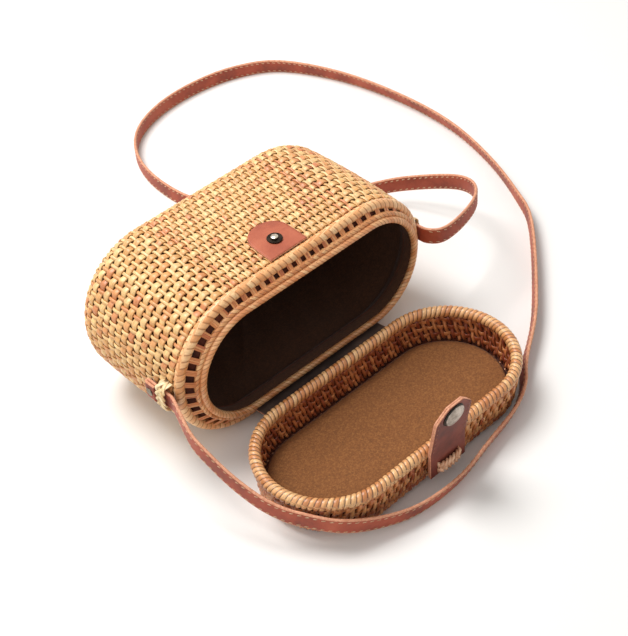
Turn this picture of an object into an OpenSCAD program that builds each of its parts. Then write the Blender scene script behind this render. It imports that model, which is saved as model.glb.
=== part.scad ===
/* [Oval] */
// Length of the straight run of the oval, which the mouth, the body and the lid share
straight_l = 104; // [90:1:120]

/* [Body] */
// Distance from the front of the mouth to the outside of the base
body_depth = 110; // [95:1:130]
// Thickness of the bag at its mouth, from front wall to back wall
mouth_w = 105; // [98:1:112]
// How much further out the walls are at the base than at the mouth
base_out = 0.5; // [-3:0.5:3]
// How far each wall swells between mouth and base
belly = 2; // [0.5:0.5:4]
// Thickness of the woven wall
wall_t = 4; // [3:0.5:5]
// Outside radius where the wall turns into the base
base_r = 18; // [12:1:24]
// Thickness of the cloth lining
lining_t = 0.8; // [0.5:0.1:1.2]

/* [Mouth] */
// Diameter of the twisted cane ring that lines the opening
lip_d = 4.6; // [4:0.2:5]
// Width of the band between the opening and the outer edge of the mouth
band_w = 15; // [14:0.5:16]
// How far the opening sits to the right of the mouth's middle
lip_x = 3; // [0:0.5:4]
// Diameter of the wrapped border at the outer edge of the mouth
border_d = 7; // [6:0.5:8]
// How far the border sits behind the lip
border_set = 6.5; // [5:0.5:7]
// Width of one lashing between lip and border
lashing_w = 4.2; // [3:0.2:5]
// Distance from one lashing to the next
lashing_pitch = 8.6; // [7:0.2:12]
// Thickness of a lashing
lashing_t = 1.6; // [1:0.2:2]

/* [Lid] */
// How far the lid's rim stands in from the mouth's outer edge, on each side
lid_in = 4.5; // [3:0.5:6]
// How far the lid sits to the left of the mouth's middle
lid_left = 2; // [0:0.5:4]
// Height of the lid from its outer face to the top of its rim
lid_h = 33; // [28:1:38]
// Diameter of the wrapped rim coil
rim_d = 7.8; // [6:0.2:9]
// Thickness of the double woven skirt
skirt_t = 5.5; // [4:0.5:7]
// How much smaller the outer face is than the rim, on each side
skirt_taper = 3.5; // [2:0.5:5]
// Outside radius where the skirt turns into the outer face
lid_r = 8; // [5:1:12]
// Thickness of the woven outer face
plate_t = 5; // [4:0.5:7]
// Thickness of the stiff card under the lid lining
card_t = 2; // [1:0.5:3]
// Thickness of the padded lid lining
pad_t = 1.5; // [1:0.5:2.5]

/* [Hinge] */
// Distance from the lip to the rim of the open lid
lid_gap = 19; // [18:1:22]
// Length of the leather hinge strip, along the bag
strip_l = 110; // [80:5:120]
// Thickness of the hinge leather
strip_t = 0.8; // [0.6:0.1:0.9]
// Height of the leaf that is sewn to the lid's skirt
lid_leaf_h = 11; // [8:1:14]
// Place of the strip's middle along the bag
strip_x = 5; // [-10:1:10]
// Distance from one hinge stitch to the next
stitch_pitch = 5; // [4:0.5:8]

/* [Closure] */
// Place of the closure along the bag
closure_x = -4; // [-10:1:10]
// Width of the closure tab and of the patch under the stud
tab_w = 30; // [24:1:36]
// Length of the free part of the tab, from its fold at the rim to its tip
tab_l = 38; // [34:1:42]
// Length of the tab's foot, which is tied to the lid
foot_l = 20; // [16:1:21]
// Thickness of one of the tab's two leather layers
leather_t = 1.3; // [1:0.1:1.6]
// Width and height of the cut corners at the tip
corner_cut = 9; // [6:1:12]
// Thickness of the patch
patch_t = 1; // [0.8:0.1:1.2]
// Length of the patch along the bag's depth
patch_l = 30; // [26:1:34]
// Distance from the lip to the near edge of the patch
patch_set = 12; // [10:1:14]
// Distance from the lip to the middle of the stud
stud_y = 25; // [22:1:28]
// Diameter of the stud's post
post_d = 4.6; // [4:0.2:5]
// Height of the stud's post above its washer
post_h = 1.6; // [1.4:0.1:2]
// Diameter of the ring under the post
washer_d = 10; // [8:0.5:12]
// Diameter of the cap on the outside of the tab
cap_d = 15; // [12:0.5:17]

/* [Strap] */
// Width of the long leather strap
strap_w = 12.4; // [12:0.2:12.8]
// Thickness of the strap
strap_t = 2.2; // [1.8:0.1:2.4]
// Distance from the lip to the middle of each cane loop
loop_y = 17; // [15:1:20]
// Width of a cane loop, along the bag's depth
loop_w = 9; // [7:0.5:11]
// Thickness of the plaited cane in a loop
loop_t = 2; // [1.5:0.1:2.5]
// Room between the strap and the loop over it
loop_room = 1; // [0.8:0.1:1.4]

/* [Hidden] */

$fn = 64;
// How far a cut runs past the faces that it goes through
over = 1;
// Small running gap between pieces that move
gap = 0.3;
// Straight pieces that stand for one round stretch of an outline
corner_steps = 6;
wall_steps = 10;

half_l = straight_l / 2;
border_r = mouth_w / 2 - border_d / 2;
border_y = border_set + border_d / 2;
lip_r = mouth_w / 2 - band_w + lip_d / 2;
lip_y = lip_d / 2;

// Radius of the body's oval at a distance y behind the lip: it swells between the mouth and the base,
// in short straight steps, so that what lies on the wall meets it face to face
wall_end = body_depth - base_r;
function swell_r(y) = let (t = (y - border_y) / (body_depth - border_y))
    mouth_w / 2 + base_out * t + 4 * belly * t * (1 - t);
WALL = [for (i = [0 : wall_steps]) let (y = border_y + (wall_end - border_y) * i / wall_steps) [y, swell_r(y)]];
function wall_r(y) = lookup(y, WALL);
function wall_line(inset, from) =
    concat([[wall_r(from) - inset, from]], [for (p = WALL) if (p[0] > from) [p[1] - inset, p[0]]]);
function base_turn(inset) = [for (i = [0 : corner_steps])
    let (a = 90 * i / corner_steps)
    [wall_r(wall_end) - base_r + (base_r - inset) * cos(a), wall_end + (base_r - inset) * sin(a)]];
function body_outline(inset, from) =
    concat([[0, from]], wall_line(inset, from), base_turn(inset), [[0, body_depth - inset]]);

// Height of the bag's middle when it lies on its back, so that its widest ring touches the surface
body_z = max([for (p = wall_line(0, border_y)) p[0]]);

// The closed lid's rim stands just in front of the lip, flush with the mouth's outer edge at the closure
lid_w = mouth_w - 2 * lid_in;
seat_y = -gap;
rim_r = lid_w / 2 - rim_d / 2;
lid_y = -lid_gap - lid_w / 2;
lid_top = body_z + mouth_w / 2;
lid_low = lid_top - lid_w;
// Line that the lid turns about: it carries the open lid on the surface to the closed lid at the mouth
hinge_z = (lid_low + lid_h - lid_gap - seat_y) / 2;
hinge_y = seat_y - lid_h + hinge_z;

// The tab folds at the top of the rim, about its outer face. It is pressed down on the stud's washer
// in the closed place, and at rest it leans out so far that it clears the post when the lid swings shut
tab_t = 2 * leather_t;
washer_t = 0.7;
cap_h = 2.6;
patch_top = body_z + wall_r(stud_y) + patch_t;
root_y = seat_y - rim_d / 4;
root_z = lid_top + gap / 3 + tab_t;
press_z = patch_top + washer_t + gap / 3 + tab_t;
clear_z = patch_top + washer_t + post_h + 3 / 2 * gap + tab_t;
tab_lean = atan((clear_z - root_z) / (stud_y - root_y));
tab_press = tab_lean - atan((press_z - root_z) / (stud_y - washer_d / 2 - root_y));
cap_along = (stud_y - root_y) / cos(tab_lean);
// The fold where the lid lies open
tab_hinge_z = root_y - seat_y + lid_h;
tab_hinge_y = hinge_z + hinge_y - root_z;

// The frame's origin is under the middle of the bag without its strap
front_reach = -tab_hinge_y + cap_along * sin(tab_lean) + cap_h * cos(tab_lean);
frame_y = (front_reach - body_depth) / 2;

echo(hinge = [0, hinge_y + frame_y, hinge_z], tab_hinge = [closure_x, tab_hinge_y + frame_y, tab_hinge_z],
    press = tab_press, lean = tab_lean, mouth = frame_y, middle = body_z, reach = front_reach);

// Sweeps a profile, given as radius and depth, round the oval, with the depth along Z
module oval() {
    for (side = [-1, 1])
        translate([side * half_l, 0, 0]) rotate([0, 0, -90 * side])
            rotate_extrude(angle = 180) children();
    rotate([90, 0, 90]) translate([0, 0, -half_l]) linear_extrude(straight_l) {
        children();
        mirror([1, 0]) children();
    }
}

// Turns the oval's depth along +Y and puts it at the mouth
module at_mouth() { translate([0, frame_y, body_z]) rotate([-90, 0, 0]) children(); }
module at_opening() { translate([lip_x, 0, 0]) children(); }
module at_lid() { translate([-lid_left, lid_y + frame_y, 0]) children(); }

module ring(r, y, d) { oval() translate([r, y]) circle(d = d); }
module body_solid(inset, from) { oval() polygon(body_outline(inset, from)); }

module body_shell() {
    color("#E3B679") at_mouth() difference() {
        body_solid(0, border_y);
        body_solid(wall_t, border_y - over);
        ring(border_r, border_y, border_d);
        stud_bore();
    }
}

module mouth_border() { color("#C98A4B") at_mouth() ring(border_r, border_y, border_d); }

// The band between lip and border slopes back, by this angle and over this length
band_tilt = atan((border_y - lip_y) / (border_r - lip_r));
band_l = norm([border_r - lip_r, border_y - lip_y]);

// Behind the lashings a cane core runs from the lip to the wall, and slopes back into the bag.
// It is given as the inside of a funnel, and as the core's outline in radius and depth
collar_l = 7;
collar_y = lip_d + lashing_t / 2;
collar_end = collar_y + 2 * collar_l;
slope_r = wall_r(collar_end) - wall_t - lip_r;
collar_front = lip_y + lashing_t / 2 / cos(band_tilt);
module funnel(inset, from) {
    at_opening() oval() polygon([[0, from], [lip_r - inset, from], [lip_r - inset, collar_y + collar_l],
        [lip_r - inset + 2 * slope_r, collar_y + 3 * collar_l], [lip_r - inset + 2 * slope_r, body_depth],
        [0, body_depth]]);
}
module mouth_collar() {
    color("#8A4B22") at_mouth() difference() {
        intersection() {
            at_opening() oval() polygon([[lip_r, collar_front],
                [lip_r + 2 * slope_r, collar_front + 2 * slope_r * tan(band_tilt)],
                [lip_r + 2 * slope_r, collar_y + 3 * collar_l], [lip_r, collar_y + collar_l]]);
            body_solid(wall_t, 0);
        }
        at_opening() ring(lip_r, lip_y, lip_d);
        ring(border_r, border_y, border_d);
    }
}

// One lashing crosses from the lip to the border
module lashing() {
    translate([0, lip_r, lip_y]) rotate([band_tilt, 0, 0]) translate([-lashing_w / 2, 0, -lashing_t / 2])
        cube([lashing_w, band_l + 2 * lip_x, lashing_t]);
}
lashings_straight = floor(straight_l / lashing_pitch);
lashings_end = floor(PI * lip_r / lashing_pitch);
module mouth_lashings() {
    color("#C07A40") at_mouth() difference() {
        intersection() {
            at_opening() for (side = [0, 180]) rotate([0, 0, side]) {
                for (i = [0 : lashings_straight - 1])
                    translate([(i + 1 / 2) * straight_l / lashings_straight - half_l, 0, 0]) lashing();
                for (i = [0 : lashings_end - 1])
                    translate([half_l, 0, 0]) rotate([0, 0, -180 * (i + 1 / 2) / lashings_end]) lashing();
            }
            oval() polygon([[0, 0], [border_r, 0], [border_r, body_depth], [0, body_depth]]);
        }
        at_opening() ring(lip_r, lip_y, lip_d);
        ring(border_r, border_y, border_d);
    }
}

module lip_ring() { color("#E8C48A") at_mouth() at_opening() ring(lip_r, lip_y, lip_d); }

// The lining starts on the collar's inner face and follows the wall to the base
module body_lining() {
    color("#3A2416") at_mouth() difference() {
        lining_solid(0);
        lining_solid(lining_t);
        stud_bore();
    }
}
module lining_solid(inset) {
    intersection() {
        funnel(inset, collar_y - sign(inset) * over);
        body_solid(wall_t + inset, 0);
    }
}

// The hinge strip is sewn over the lashings below the lip, and runs from the lower edge of that flap
// to the line that the lid turns about. A point of its outline is given along the band, and out from it
stitch_l = 3;
stitch_t = 0.7;
flap_from = lip_d / 2 + gap;
flap_to = band_l - border_d / 2 - gap;
flap_in = lashing_t / 2;
web_top = hinge_z - stitch_t - 3 * gap;
function on_band(along, out) = [lip_y + along * sin(band_tilt) - out * cos(band_tilt),
    body_z - lip_r - along * cos(band_tilt) - out * sin(band_tilt)];
module hinge_strip() {
    color("#4A3A34") translate([strip_x - strip_l / 2, frame_y, 0]) rotate([90, 0, 90]) linear_extrude(strip_l) {
        polygon([on_band(flap_from, flap_in), on_band(flap_from, flap_in + strip_t),
            on_band(flap_to, flap_in + strip_t), on_band(flap_to, flap_in)]);
        polygon([on_band(flap_to, flap_in), on_band(flap_to, flap_in + strip_t),
            [hinge_y, web_top - strip_t], [hinge_y, web_top]]);
    }
}

strip_edge = 2;
stitches = floor((strip_l - 2 * strip_edge) / stitch_pitch);
module stitch_row() {
    for (i = [0 : stitches - 1])
        translate([strip_x + (i + 1 / 2 - stitches / 2) * stitch_pitch - stitch_l / 2, 0, 0])
            cube([stitch_l, stitch_t, stitch_t]);
}
module hinge_strip_stitches() {
    color("#8A7A66") translate([0, lip_y + frame_y, body_z - lip_r]) rotate([band_tilt - 90, 0, 0])
        translate([0, (flap_from + flap_to) / 2, -flap_in - strip_t - stitch_t]) stitch_row();
}

// The outline that the tab's tip and the patch share: straight sides and two cut corners at the far end
module tab_outline(length, inset = 0) {
    w = tab_w / 2 - inset;
    polygon([[-w, inset], [w, inset], [w, length - corner_cut], [w - corner_cut, length - inset],
        [corner_cut - w, length - inset], [-w, length - corner_cut]]);
}

rivet_d = 3;
rivet_head_d = 9;
rivet_head_t = 1;
stud_base_z = min(wall_r(stud_y - rivet_head_d / 2), wall_r(stud_y + rivet_head_d / 2)) - wall_t - lining_t;
// Bore for the stud's rivet, in the mouth's own directions, where up is -Y
module stud_bore() {
    translate([closure_x, -body_z, stud_y]) rotate([-90, 0, 0]) cylinder(d = rivet_d, h = body_z);
}
module at_stud(z) { translate([closure_x, stud_y + frame_y, z]) children(); }

module stud_patch() {
    color("#C06F56") difference() {
        translate([closure_x, patch_set + frame_y, body_z]) linear_extrude(mouth_w) tab_outline(patch_l);
        at_mouth() patch_outside();
        at_mouth() body_solid(0, border_y);
        at_stud(body_z) cylinder(d = rivet_d, h = mouth_w);
    }
}
// Everything further out than the patch's surface
module patch_outside() {
    difference() {
        translate([-straight_l, -2 * mouth_w, 0]) cube([2 * straight_l, 2 * mouth_w, body_depth]);
        body_solid(-patch_t, border_y - over);
    }
}

module stud_washer() {
    color("#4A3F36") difference() {
        at_stud(patch_top - washer_t) cylinder(d = washer_d, h = 2 * washer_t);
        at_mouth() body_solid(-patch_t, border_y);
        at_stud(body_z) cylinder(d = rivet_d, h = mouth_w);
    }
}

neck_share = 0.75;
module stud_post() {
    color("#8C8272") at_stud(patch_top + washer_t) difference() {
        rotate_extrude() polygon([[0, 0], [post_d / 2 * neck_share, 0], [post_d / 2 * neck_share, post_h / 4],
            [post_d / 2, post_h / 2], [post_d / 2, post_h * neck_share], [post_d / 4, post_h], [0, post_h]]);
        translate([0, 0, -over]) cylinder(d = rivet_d, h = over + post_h / 4);
    }
}

module stud_rivet() {
    color("#6B6358") at_stud(body_z) {
        translate([0, 0, stud_base_z - rivet_head_t]) cylinder(d = rivet_head_d, h = rivet_head_t);
        translate([0, 0, stud_base_z - rivet_head_t])
            cylinder(d = rivet_d, h = patch_top + washer_t + post_h / 4 - body_z - stud_base_z + rivet_head_t);
    }
}

// The strap's end runs through a loop beside the wall and is folded double behind it as a stop
end_front = loop_y - loop_w / 2 - loop_w / 3;
end_back = loop_y + loop_w / 2 + gap;
fold_l = 10;
end_x = half_l + wall_r(end_back + fold_l) + gap / 3;

// A loop is a bridge of plaited cane: a sector of a ring round the end of the bag, on two feet
loop_in_r = end_x - half_l + strap_t + loop_room;
loop_angle = 2 * asin((strap_w / 2 + gap) / (end_x - half_l));
foot_angle = 2 * asin(loop_t / loop_in_r);
foot_r = wall_r(loop_y) - wall_t / 2;
module loop_sector(r_in, r_out, angle) {
    rotate([0, 0, -angle / 2]) rotate_extrude(angle = angle)
        translate([r_in, loop_y - loop_w / 2]) square([r_out - r_in, loop_w]);
}
module strap_loop() {
    difference() {
        translate([half_l, 0, 0]) difference() {
            loop_sector(foot_r, loop_in_r + loop_t, loop_angle + 2 * foot_angle);
            loop_sector(foot_r - wall_t, loop_in_r, loop_angle);
        }
        body_solid(0, border_y);
    }
}
module strap_loop_right() { color("#EAD2A4") at_mouth() strap_loop(); }
module strap_loop_left() { color("#EAD2A4") mirror([1, 0, 0]) at_mouth() strap_loop(); }

module strap_end() {
    translate([end_x, frame_y, body_z - strap_w / 2]) difference() {
        union() {
            translate([0, end_front, 0]) cube([strap_t, end_back + fold_l - end_front, strap_w]);
            translate([strap_t, end_back, 0]) cube([strap_t, fold_l, strap_w]);
        }
        translate([-over, end_back + fold_l / 2, strap_w / 2]) rotate([0, 90, 0])
            cylinder(d = rivet_d, h = 2 * strap_t + 2 * over);
    }
}
module strap_end_right() { color("#A85844") strap_end(); }
module strap_end_left() { color("#A85844") mirror([1, 0, 0]) strap_end(); }
strap_rivet_head_d = 5.5;
module strap_rivet() {
    translate([end_x, frame_y + end_back + fold_l / 2, body_z]) rotate([0, 90, 0]) {
        cylinder(d = rivet_d, h = 2 * strap_t);
        translate([0, 0, 2 * strap_t]) cylinder(d = strap_rivet_head_d, h = rivet_head_t);
    }
}
module strap_rivet_right() { color("#6B6358") strap_rivet(); }
module strap_rivet_left() { color("#6B6358") mirror([1, 0, 0]) strap_rivet(); }

// Skirt radius of the lid at a height z above its outer face
function skirt_r(z) = rim_r + rim_d / 2 - gap - skirt_taper * (1 - z / (lid_h - rim_d / 2));
function lid_outline(inset, to) = concat([[0, inset]],
    [for (i = [0 : corner_steps]) let (a = 90 * i / corner_steps)
        [skirt_r(lid_r) - lid_r + (lid_r - inset) * sin(a), lid_r - (lid_r - inset) * cos(a)]],
    [[skirt_r(to) - inset, to], [0, to]]);
rim_z = lid_h - rim_d / 2;
module lid_shell() {
    color("#DBA766") at_lid() difference() {
        oval() polygon(lid_outline(0, rim_z));
        oval() polygon([[0, plate_t], [skirt_r(plate_t) - skirt_t, plate_t],
            [skirt_r(rim_z) - skirt_t, rim_z + over], [0, rim_z + over]]);
        ring(rim_r, rim_z, rim_d);
    }
}
module lid_rim() { color("#D79A58") at_lid() ring(rim_r, rim_z, rim_d); }

card_gap = 0.5;
module lid_disc(z, t) {
    at_lid() oval() polygon([[0, z], [skirt_r(z) - skirt_t - card_gap, z],
        [skirt_r(z) - skirt_t - card_gap, z + t], [0, z + t]]);
}
module lid_card() { color("#C9B491") lid_disc(plate_t, card_t); }
module lid_lining() { color("#96693F") lid_disc(plate_t + card_t, pad_t); }

// The lid's leaf of the hinge strip is sewn on the back of the skirt, above the turning line
leaf_z = hinge_z + gap;
leaf_x = strip_x - strip_l / 2 + lid_left;
module hinge_leaf() {
    color("#4A3A34") at_lid() difference() {
        translate([leaf_x, skirt_r(leaf_z), leaf_z])
            cube([strip_l, skirt_r(leaf_z + lid_leaf_h) + strip_t - skirt_r(leaf_z), lid_leaf_h]);
        oval() polygon(lid_outline(0, rim_z));
        translate([leaf_x - over, skirt_r(leaf_z) + strip_t, leaf_z])
            rotate([leaf_tilt, 0, 0]) translate([0, 0, -over])
                cube([strip_l + 2 * over, 2 * strip_t + over, 2 * lid_leaf_h]);
    }
}
leaf_tilt = -atan(skirt_taper / (lid_h - rim_d / 2));
module hinge_leaf_stitches() {
    color("#8A7A66") at_lid() for (z = [leaf_z + strip_edge, leaf_z + lid_leaf_h - strip_edge])
        translate([lid_left, skirt_r(z + stitch_t) + strip_t / cos(leaf_tilt), z]) stitch_row();
}

// Places a child given flat, with Y towards the tip and Z outwards, on the free part of the tab at rest
module on_tab() {
    translate([closure_x, tab_hinge_y + frame_y, tab_hinge_z]) rotate([90 + tab_lean, 0, 0]) children();
}
// Room at the fold between the tab and its foot
fold_gap = gap / 2;
socket_wall = 1;
socket_room = 2 * gap;
socket_d = post_d + 2 * socket_room + 2 * socket_wall;
tab_inset = 0.6;
module tab_layer(z, t, inset) {
    on_tab() difference() {
        translate([0, fold_gap, z]) linear_extrude(t) tab_outline(tab_l - fold_gap, inset);
        translate([0, cap_along, z - over]) cylinder(d = socket_d, h = t + 2 * over);
    }
}
module closure_tab() { color("#7A3F2E") tab_layer(-leather_t, leather_t, 0); }
module closure_tab_backing() { color("#C98A6E") tab_layer(-tab_t, leather_t, tab_inset); }

tab_stitch_n = floor((tab_l - corner_cut) / stitch_pitch);
module tab_stitches() {
    color("#B98A6A") on_tab() for (side = [-1, 1], i = [0 : tab_stitch_n - 1])
        translate([side * (tab_w / 2 - strip_edge) - stitch_t / 2, stitch_l / 2 + i * stitch_pitch, 0])
            cube([stitch_t, stitch_l, stitch_t]);
}

module snap_socket() {
    color("#8C8272") on_tab() translate([0, cap_along, -tab_t]) difference() {
        cylinder(d = socket_d, h = tab_t);
        translate([0, 0, -over]) cylinder(d = socket_d - 2 * socket_wall, h = tab_t + 2 * over);
    }
}

module snap_cap() {
    color("#7D7466") on_tab() translate([0, cap_along, 0])
        rotate_extrude() polygon(concat([[0, 0]], [for (i = [0 : corner_steps])
            let (a = 90 * i / corner_steps) [cap_d / 2 * cos(a), cap_h * sin(a)]]));
}

// The foot of the tab stands against the rim, and a plait of cane ties it to the skirt above the strap
foot_y = tab_hinge_y + frame_y + tab_t;
foot_top = tab_hinge_z - fold_gap;
module tab_foot() {
    color("#7A3F2E") translate([closure_x - tab_w / 2, foot_y - tab_t, foot_top - foot_l])
        cube([tab_w, tab_t, foot_l]);
}
knot_d = 4;
knot_rows = 2;
knot_low = strap_w + 2 * gap;
module tab_lashing() {
    color("#E0B27A") for (i = [0 : knot_rows - 1])
        translate([closure_x - tab_w / 3, foot_y - tab_t - knot_d / 2, knot_low + (i + 1 / 2) * knot_d])
            rotate([0, 90, 0]) cylinder(d = knot_d, h = 2 * tab_w / 3);
}

// Route of the strap's middle line, from the left loop round the front of the lid, out to the right,
// round behind the bag and up to the right loop. Below each turn it stands on edge on the surface
route_start = [-end_x - strap_t / 2, end_front + frame_y, body_z];
route_end = [end_x + strap_t / 2, end_front + frame_y, body_z];
ROUTE = [[-110, 9, 53.5], [-115, -8, 47], [-115, -22, 41], [-113, -40, 33], [-109, -58, 26],
    [-104.2, -71.5, 22.6], [-98.7, -82, 21], [-85, -100, 17.6], [-63.3, -110.5, 10.6], [-37, -118, 6.6],
    [-4, -119.5, 6.4], [30, -113, 6.4], [60, -107, 6.4], [80, -98, 6.4], [98, -84, 6.4], [142, -56, 6.4],
    [208, 2, 6.4], [230, 34, 6.4], [251, 80, 6.4], [265, 132, 6.4], [267, 189, 6.4], [258, 248, 6.4],
    [236, 298, 6.4], [206, 320, 6.4], [168, 329, 6.4], [128, 327, 6.4], [94, 313, 6.4], [72, 288, 6.4],
    [61, 252, 6.4], [63, 208, 6.4], [82, 170, 6.4], [112, 143, 7], [161, 110, 14.5], [177, 88, 21.5],
    [186, 61, 31], [185, 43, 37.5], [176, 27.5, 43.5], [160, 15, 49], [140, 7, 52.5], [123, 4, 54],
    [114, 5.5, 54.5], [108.8, 11, 54.7]];
ring_step = 2;

function catmull(a, b, c, d, t) = (2 * b + (c - a) * t + (2 * a - 5 * b + 4 * c - d) * t * t
    + (3 * b - a - 3 * c + d) * t * t * t) / 2;
points_through = concat([route_start + [0, strap_w, 0], route_start], ROUTE, [route_end, route_end + [0, strap_w, 0]]);
rings = concat([for (i = [1 : len(points_through) - 3], j = [0 : ring_step - 1])
    catmull(points_through[i - 1], points_through[i], points_through[i + 1], points_through[i + 2], j / ring_step)],
    [route_end]);
last = len(rings) - 1;
function unit(v) = v / norm(v);
function tangent(i) = i == 0 ? [0, -1, 0] : i == last ? [0, 1, 0] : unit(rings[i + 1] - rings[i - 1]);
half_t = strap_t / 2;
half_w = strap_w / 2;
bevel = strap_t / 4;
SECTION = [[half_t, half_w - bevel], [half_t - bevel, half_w], [bevel - half_t, half_w], [-half_t, half_w - bevel],
    [-half_t, bevel - half_w], [bevel - half_t, -half_w], [half_t - bevel, -half_w], [half_t, bevel - half_w]];
sides = len(SECTION);
function strap_points() = [for (i = [0 : last])
    let (t = tangent(i), up = unit([0, 0, 1] - t * t[2]), side = cross(t, up))
    for (p = SECTION) rings[i] + side * p[0] + up * p[1]];
function strap_faces() = concat(
    [for (i = [0 : last - 1], j = [0 : sides - 1]) let (k = (j + 1) % sides)
        [i * sides + j, (i + 1) * sides + k, i * sides + k]],
    [for (i = [0 : last - 1], j = [0 : sides - 1]) let (k = (j + 1) % sides)
        [i * sides + j, (i + 1) * sides + j, (i + 1) * sides + k]],
    [for (j = [1 : sides - 2]) [0, j, j + 1]],
    [for (j = [1 : sides - 2]) [last * sides, last * sides + j + 1, last * sides + j]]);
strap_length = [for (i = [0 : last - 1]) norm(rings[i + 1] - rings[i])] * [for (i = [0 : last - 1]) 1];
echo(rings = last + 1, strap_length = strap_length);
module strap() { color("#B5654F") polyhedron(strap_points(), strap_faces()); }

body_shell();
mouth_border();
mouth_collar();
mouth_lashings();
lip_ring();
body_lining();
hinge_strip();
hinge_strip_stitches();
stud_patch();
stud_washer();
stud_post();
stud_rivet();
strap_loop_left();
strap_loop_right();
strap_end_left();
strap_end_right();
strap_rivet_left();
strap_rivet_right();
strap();
lid_shell();
lid_rim();
lid_card();
lid_lining();
hinge_leaf();
hinge_leaf_stitches();
tab_foot();
tab_lashing();
closure_tab();
closure_tab_backing();
tab_stitches();
snap_socket();
snap_cap();
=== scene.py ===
"""Looks of an oval woven cane bag with an open lid, a snap tab and a long leather strap.

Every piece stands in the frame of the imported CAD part. Sizes are in millimetres, and a mesh is in metres.
A basket's own directions are: across, along the bag; up, over the bag or towards the back of the lid; and
in, away from the rim. Each vertex holds its lay: where it is along and across its strand, and its tone.
"""
import math
from dataclasses import dataclass
from functools import partial

import bmesh
import bpy
import numpy as np
from bpy.props import FloatProperty, FloatVectorProperty, IntProperty, PointerProperty
from mathutils import Matrix, Vector


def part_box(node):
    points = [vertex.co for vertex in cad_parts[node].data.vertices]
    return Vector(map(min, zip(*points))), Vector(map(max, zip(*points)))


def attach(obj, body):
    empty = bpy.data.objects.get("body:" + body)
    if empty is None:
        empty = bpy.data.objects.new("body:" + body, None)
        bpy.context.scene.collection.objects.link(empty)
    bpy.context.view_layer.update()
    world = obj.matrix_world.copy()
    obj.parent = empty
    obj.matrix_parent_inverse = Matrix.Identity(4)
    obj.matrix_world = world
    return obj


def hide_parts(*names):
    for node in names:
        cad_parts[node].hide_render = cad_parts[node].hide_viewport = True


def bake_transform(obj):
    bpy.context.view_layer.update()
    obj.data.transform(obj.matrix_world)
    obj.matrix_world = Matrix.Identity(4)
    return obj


bl_info = {
    "name": "Woven Cane Bag",
    "version": (1, 0, 0),
    "blender": (4, 5, 0),
    "location": "3D View > Sidebar > Cane Bag",
    "description": "Builds the looks of an oval woven cane bag round its CAD frame",
    "category": "Object",
}

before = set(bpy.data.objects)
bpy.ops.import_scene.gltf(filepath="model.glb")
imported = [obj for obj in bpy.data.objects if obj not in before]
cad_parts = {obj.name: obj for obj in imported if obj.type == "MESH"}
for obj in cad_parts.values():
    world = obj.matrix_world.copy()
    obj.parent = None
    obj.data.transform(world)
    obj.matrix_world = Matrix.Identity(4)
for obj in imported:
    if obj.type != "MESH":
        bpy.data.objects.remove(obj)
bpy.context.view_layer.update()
MM = 0.001
MERGE = 2e-6                # metres within which two vertices are one
ROUND = 2 * math.pi


def box_mm(node):
    """Lowest and highest corner of a CAD node."""
    return [np.array(corner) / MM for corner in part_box(node)]


def middle_reach(node):
    """The middle of a CAD node, and how far it reaches from there."""
    low, high = box_mm(node)
    return (low + high) / 2, (high - low) / 2


# Places that the frame gives
HALF_RUN = 52.0             # half of the oval's straight side
MOUTH_Y = box_mm("lip_ring")[0][1]
BODY_Z = middle_reach("mouth_border")[0][2]
LIP_SHIFT = middle_reach("lip_ring")[0][0]
LID_X, LID_Y, _ = middle_reach("lid_rim")[0]

# A place is the order in which across, up and in become x, y and z, and the origin that is then added
MOUTH = ([0, 2, 1], np.array([0.0, MOUTH_Y, BODY_Z]))
OPENING = ([0, 2, 1], np.array([LIP_SHIFT, MOUTH_Y, BODY_Z]))
LID = ([0, 1, 2], np.array([LID_X, LID_Y, 0.0]))

# Sizes that repeat the CAD part's
WALL_END, BODY_DEPTH, BASE_TURN = 92.0, 110.0, 18.0
BORDER_IN, BORDER_RADIUS, BORDER_THICK = 10.0, 49.0, 7.0
LIP_RADIUS, LIP_THICK = 39.8, 4.6
LID_RIM_Z, LID_RIM_RADIUS, LID_RIM_THICK = 29.1, 44.1, 7.8
LID_TURN, LID_SKIRT = 8.0, 5.5
FOLD = np.array([-4.0, -110.201, 31.05])
TAB_LEAN = math.radians(9.862)
STRAP_WIDE, STRAP_THICK = 12.4, 2.2
END_Y, END_X = 17.0, 107.6

# Where the weave starts: in from the lip, and above the lid's outer face
BODY_START, LID_START = 12.6, 25.5
SKIN = 0.1                  # the highest strand lies this far inside the solid's face

# Middle line of the free strap, from the left loop round the lid and back behind the bag to the right loop
ROUTE = [
    (-110, 9, 53.5), (-115, -8, 47), (-115, -22, 41), (-113, -40, 33), (-109, -58, 26), (-104.2, -71.5, 22.6),
    (-98.7, -82, 21), (-85, -100, 17.6), (-63.3, -110.5, 10.6), (-37, -118, 6.6), (-4, -119.5, 6.4),
    (30, -113, 6.4), (60, -107, 6.4), (80, -98, 6.4), (98, -84, 6.4), (142, -56, 6.4), (208, 2, 6.4),
    (230, 34, 6.4), (251, 80, 6.4), (265, 132, 6.4), (267, 189, 6.4), (258, 248, 6.4), (236, 298, 6.4),
    (206, 320, 6.4), (168, 329, 6.4), (128, 327, 6.4), (94, 313, 6.4), (72, 288, 6.4), (61, 252, 6.4),
    (63, 208, 6.4), (82, 170, 6.4), (112, 143, 7), (161, 110, 14.5), (177, 88, 21.5), (186, 61, 31),
    (185, 43, 37.5), (176, 27.5, 43.5), (160, 15, 49), (140, 7, 52.5), (123, 4, 54), (114, 5.5, 54.5),
    (108.8, 11, 54.7),
]
# Share of the strap's length, and how far its upper edge leans over towards the viewer there, in degrees
LEANS = [(0, 0), (0.16, 0), (0.21, 10), (0.256, 20), (0.302, 19), (0.349, 17), (0.372, 12), (0.395, 4),
         (0.44, -16), (0.488, -22), (0.51, -18), (0.535, -10), (0.57, 0), (1, 0)]

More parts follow.
